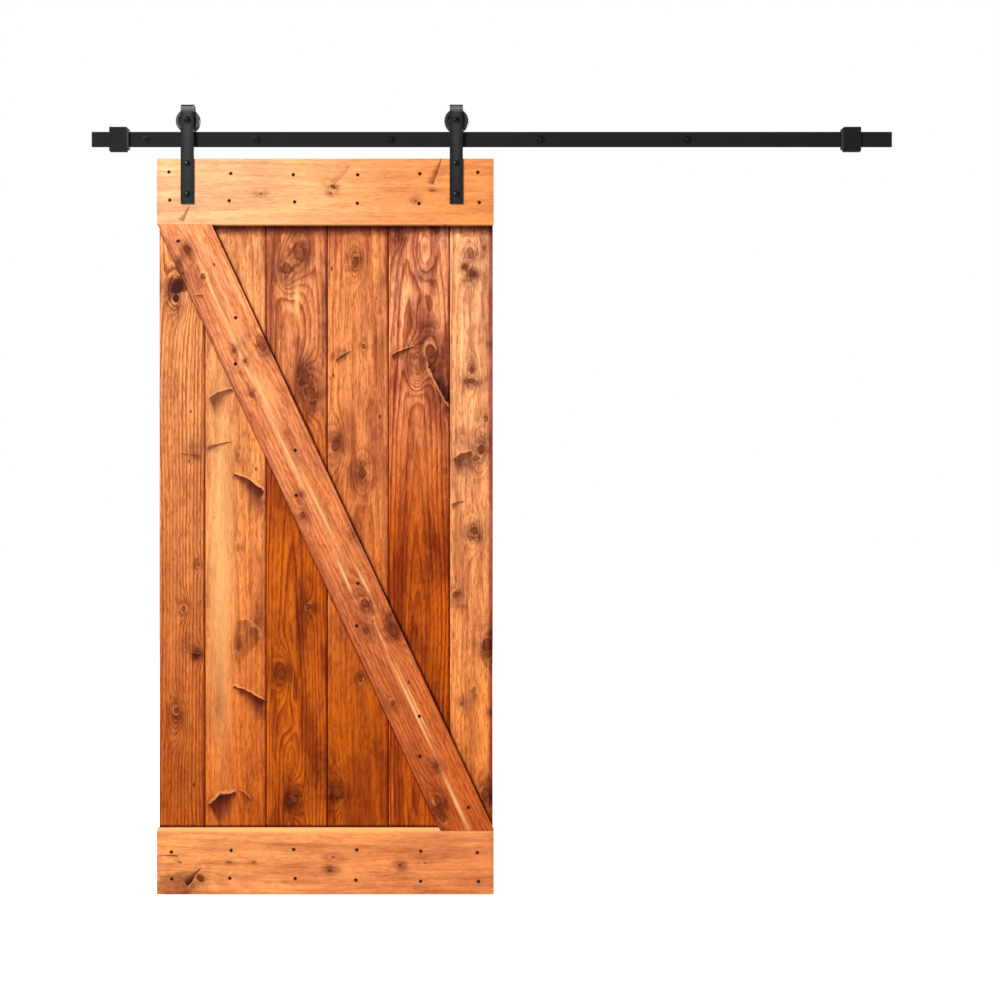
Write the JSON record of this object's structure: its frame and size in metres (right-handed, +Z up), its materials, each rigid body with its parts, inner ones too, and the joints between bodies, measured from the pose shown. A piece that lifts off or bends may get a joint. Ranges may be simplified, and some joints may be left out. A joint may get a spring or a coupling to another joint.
{
  "type": "sliding barn door",
  "caption": "Planked pine door with one diagonal brace, hung by two strap hangers whose grooved wheels roll along a flat black wall track with end stops.",
  "frame": {"origin": "on the wall plane, on the axis of the left-hand wall bolt", "axes": "+X runs right along the track, +Y points into the wall, +Z is up"},
  "size_m": [2.297, 0.0921, 2.265],
  "materials": {
    "plank_1": "oiled pine, deep orange brown",
    "plank_2": "oiled pine, orange",
    "plank_3": "oiled pine, brown orange",
    "plank_4": "oiled pine, orange brown",
    "plank_5": "oiled pine, reddish brown",
    "plank_6": "oiled pine, light orange",
    "top_rail": "oiled pine, pale honey",
    "bottom_rail": "oiled pine, honey orange",
    "brace": "oiled pine, pinkish orange",
    "track_coat": "matt black powder coat",
    "strap_coat": "satin black powder coat",
    "black_bolts": "satin black",
    "zinc": "zinc plated",
    "bearing_steel": "ground steel",
    "wheel_nylon": "turned black nylon",
    "rubber": "matt rubber"
  },
  "bodies": {
    "track": {"track": "track_coat", "standoff_1": "track_coat", "standoff_2": "track_coat", "standoff_3": "track_coat", "standoff_4": "track_coat", "standoff_5": "track_coat", "wall_bolt_1": "black_bolts", "wall_bolt_2": "black_bolts", "wall_bolt_3": "black_bolts", "wall_bolt_4": "black_bolts", "wall_bolt_5": "black_bolts", "wall_bolt_washers": "black_bolts", "left_stop_block": "track_coat", "left_stop_clamp": "track_coat", "left_stop_bumper": "rubber", "left_stop_screws": "black_bolts", "right_stop_block": "track_coat", "right_stop_clamp": "track_coat", "right_stop_bumper": "rubber", "right_stop_screws": "black_bolts"},
    "door": {"plank_1": "plank_1", "plank_2": "plank_2", "plank_3": "plank_3", "plank_4": "plank_4", "plank_5": "plank_5", "plank_6": "plank_6", "top_rail": "top_rail", "bottom_rail": "bottom_rail", "brace": "brace", "top_rail_screws": "black_bolts", "bottom_rail_screws": "black_bolts", "brace_screws": "black_bolts", "left_strap": "strap_coat", "left_hanger_bolts": "black_bolts", "left_hanger_washers": "zinc", "left_hanger_nuts": "zinc", "left_axle_bolt": "black_bolts", "left_axle_spacers": "zinc", "left_axle_nut": "zinc", "left_bearing_inner": "bearing_steel", "right_strap": "strap_coat", "right_hanger_bolts": "black_bolts", "right_hanger_washers": "zinc", "right_hanger_nuts": "zinc", "right_axle_bolt": "black_bolts", "right_axle_spacers": "zinc", "right_axle_nut": "zinc", "right_bearing_inner": "bearing_steel"},
    "left_wheel": {"left_wheel": "wheel_nylon", "left_bearing_outer": "bearing_steel", "left_bearing_balls": "bearing_steel", "left_bearing_shields": "bearing_steel"},
    "right_wheel": {"right_wheel": "wheel_nylon", "right_bearing_outer": "bearing_steel", "right_bearing_balls": "bearing_steel", "right_bearing_shields": "bearing_steel"}
  },
  "joints": [
    {"name": "door_slide", "type": "slide", "parent": "track", "child": "door", "axis": [1, 0, 0], "range_m": [-0.1425, 1.0775]},
    {"name": "left_wheel_spin", "type": "hinge", "parent": "door", "child": "left_wheel", "pos_m": [0.118, -0.038, 0.0523], "axis": [0, 1, 0], "continuous": true},
    {"name": "right_wheel_spin", "type": "hinge", "parent": "door", "child": "right_wheel", "pos_m": [0.888, -0.038, 0.0523], "axis": [0, 1, 0], "continuous": true}
  ],
  "couplings": [
    {"joint": "left_wheel_spin", "follows": "door_slide", "rad_per_m": 32.787},
    {"joint": "right_wheel_spin", "follows": "door_slide", "rad_per_m": 32.787}
  ]
}
